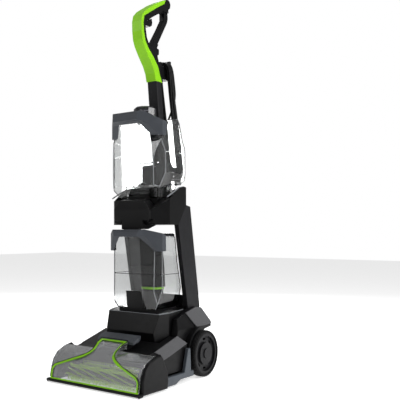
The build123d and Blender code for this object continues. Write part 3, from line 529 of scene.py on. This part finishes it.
def tube(name, points, radius, body, material, slot):
    """A thin tube along points in metres, for raised lines and for painted highlights."""
    data = bpy.data.curves.new(name, "CURVE")
    data.dimensions = "3D"
    data.bevel_depth = radius * MM
    data.bevel_resolution = 2
    data.use_fill_caps = True
    spline = data.splines.new("POLY")
    spline.points.add(len(points) - 1)
    for point, place in zip(spline.points, points):
        point.co = (*place, 1)
    piece = bpy.data.objects.new(name, data)
    bpy.context.scene.collection.objects.link(piece)
    return put(piece, body, material, slot)


def on_trim(height):
    """How far behind the lip the trim's face is at a height."""
    for (z0, y0), (z1, y1) in zip(TRIM_FACE, TRIM_FACE[1:]):
        if height <= z1:
            return y0 + (y1 - y0) * (height - z0) / (z1 - z0)
    return TRIM_FACE[-1][1]


def trim_path():
    """The outer edge of the window's trim above the front lip, in short steps."""
    outline = BELL + [(-x, z) for x, z in reversed(BELL)]
    path = []
    for (x0, z0), (x1, z1) in zip(outline, outline[1:]):
        steps = max(1, round(math.hypot(x1 - x0, z1 - z0) / TRIM_STEP))
        for i in range(steps):
            x, z = x0 + (x1 - x0) * i / steps, z0 + (z1 - z0) * i / steps
            if z > LIP_CLEAR:
                path.append(at(x, on_trim(z) - TRIM_PROUD, z))
    return path


# right-hand halves of the lines on the body: (x, y, z)
TANK_BAND = [(85.2, 278, 287), (85.2, 198, 287), (70.2, 180.5, 287)]
# the basin rim's line is a painted highlight along the rim's edge
BASIN_RIM = [(99.6, 278, 186.8), (99.6, 208, 182.3), (88.6, 179.6, 180.2)]
# the basin's corner plates are painted highlights on its front chamfers
BASIN_CORNER = [(89, 179.6, 180.6), (99.6, 208, 182.8), (94, 211, 183.4), (82.5, 184, 181.2)]
CORNER_LIFT, CORNER_THICK = 0.5, 1.5
# the cradle's rim, at one distance across: (y, z); its line is a painted highlight
CRADLE_RIM_X = 98
CRADLE_RIM = [(205, 501.6), (262, 528.6), (284, 532.6), (295, 531)]
# painted highlights along the corners of the clear tanks, right-hand side: (x, y, z)
TANK_EDGES = {
    "clean_tank": (
        [(21, 276, 727), (85, 276, 727), (85, 286, 713), (85, 300, 664), (89.5, 304.5, 645), (94, 300, 628),
         (94, 300, 570), (89.8, 304.2, 556), (86.2, 294, 544), (83.8, 270, 536)],
        [(82, 190.5, 530), (94, 203, 570), (94, 203, 628), (85, 193.7, 662)],
        [(69.9, 178, 534), (69.9, 178, 607), (72.8, 181, 627), (85, 193.7, 663)],
        [(69.9, 178, 534), (82, 190.5, 530)],
    ),
    "dirty_tank": (
        [(85, 198, 388), (85, 198, 246), (76, 188.2, 206), (66, 192, 191)],
        [(71.2, 181.6, 350), (69.7, 180, 240), (76, 188.2, 206)],
    ),
}


def whole_path(half):
    """A symmetric path in metres, left to right, from its right-hand half in mm."""
    return [at(-x, y, z) for x, y, z in half] + [at(*point) for point in reversed(half)]


def add_basin_corner(name, sign):
    """A pale plate on a front corner of the basin's rim: a painted highlight on its chamfer."""
    top = [at(sign * x, y, z + CORNER_LIFT) for x, y, z in BASIN_CORNER]
    foot = [point - Vector((0, 0, CORNER_THICK * MM)) for point in top]
    faces = [(0, 1, 2, 3), (7, 6, 5, 4), (0, 4, 5, 1), (1, 5, 6, 2), (2, 6, 7, 3), (3, 7, 4, 0)]
    if sign > 0:
        faces = [face[::-1] for face in faces]
    piece = mesh_piece(f"basin_corner_{name}", top + foot, faces)
    put(piece, "upright", MATERIALS["painted_rim_highlight"], "grey_plastic")


def add_lines():
    dark, smoked = MATERIALS["black_plastic"], MATERIALS["smoked_plastic"]
    # rim and clear are the materials of painted highlights, on the rims and on the clear tanks' corners
    rim, clear = MATERIALS["painted_rim_highlight"], MATERIALS["painted_edge_highlight"]
    tube("trim_outline", trim_path(), 1.0, "nozzle", dark, "black_plastic")
    tube("tank_band", whole_path(TANK_BAND), 0.9, "dirty_tank", smoked, "smoked_plastic")
    # painted highlight along the basin's rim
    tube("basin_rim", whole_path(BASIN_RIM), 0.9, "upright", rim, "grey_plastic")
    for name, sign in SIDES:
        path = [at(sign * CRADLE_RIM_X, y, z) for y, z in CRADLE_RIM]
        # painted highlight along the cradle's rim
        tube(f"cradle_rim_{name}", path, 1.9, "upright", rim, "grey_plastic")
        add_basin_corner(name, sign)
        # painted highlights along the clear tanks' corners
        for body, edges in TANK_EDGES.items():
            for number, edge in enumerate(edges):
                path = [at(sign * x, y, z) for x, y, z in edge]
                tube(f"{body}_edge_{name}_{number}", path, 0.8, body, clear, "clear_plastic")


# ---------------------------------------------------------------- CAD nodes
ROUND_NODES = {"wheel_axle", "pivot_pins", "foot_screws", "body_screws", "tank_float", "suction_fan",
               "drive_belts", "strain_relief", "vacuum_motor", "brush_motor", "cup_ring"}
CLEAR_NODES = {"nozzle_window", "clean_tank", "dirty_tank"}
CLEAR_EDGE, SOLID_EDGE = 0.5, 0.9         # widths of the rounded edges
SHARP = math.radians(14)      # edges that turn more than this are rounded
WELD_MM = 0.02


def soften(node, width):
    """Round the CAD node's sharp edges, as a mould does."""
    weld = node.modifiers.new("weld", "WELD")
    weld.merge_threshold = WELD_MM * MM
    edge = node.modifiers.new("edge", "BEVEL")
    edge.width = width * MM
    edge.segments = 2
    edge.limit_method = "ANGLE"
    edge.angle_limit = SHARP
    edge.harden_normals = False
    shade = node.modifiers.new("shade", "WEIGHTED_NORMAL")
    shade.keep_sharp = False


def dress_cad():
    slots = {row["node"]: row["material_slot"] for row in frame["record"]["subparts"]}
    for name, node in NODES.items():
        node.data.materials.clear()
        node.data.materials.append(MATERIALS[SPECIAL_LOOKS.get(name, slots[name])])
        if name not in ROUND_NODES:
            soften(node, CLEAR_EDGE if name in CLEAR_NODES else SOLID_EDGE)


dress_cad()
add_camera()
add_studio()
add_cord()
add_lines()
for body, centre, hand in BRUSHES:
    add_brush(body, centre, hand)
for name, sign in SIDES:
    add_tyre(name, sign)
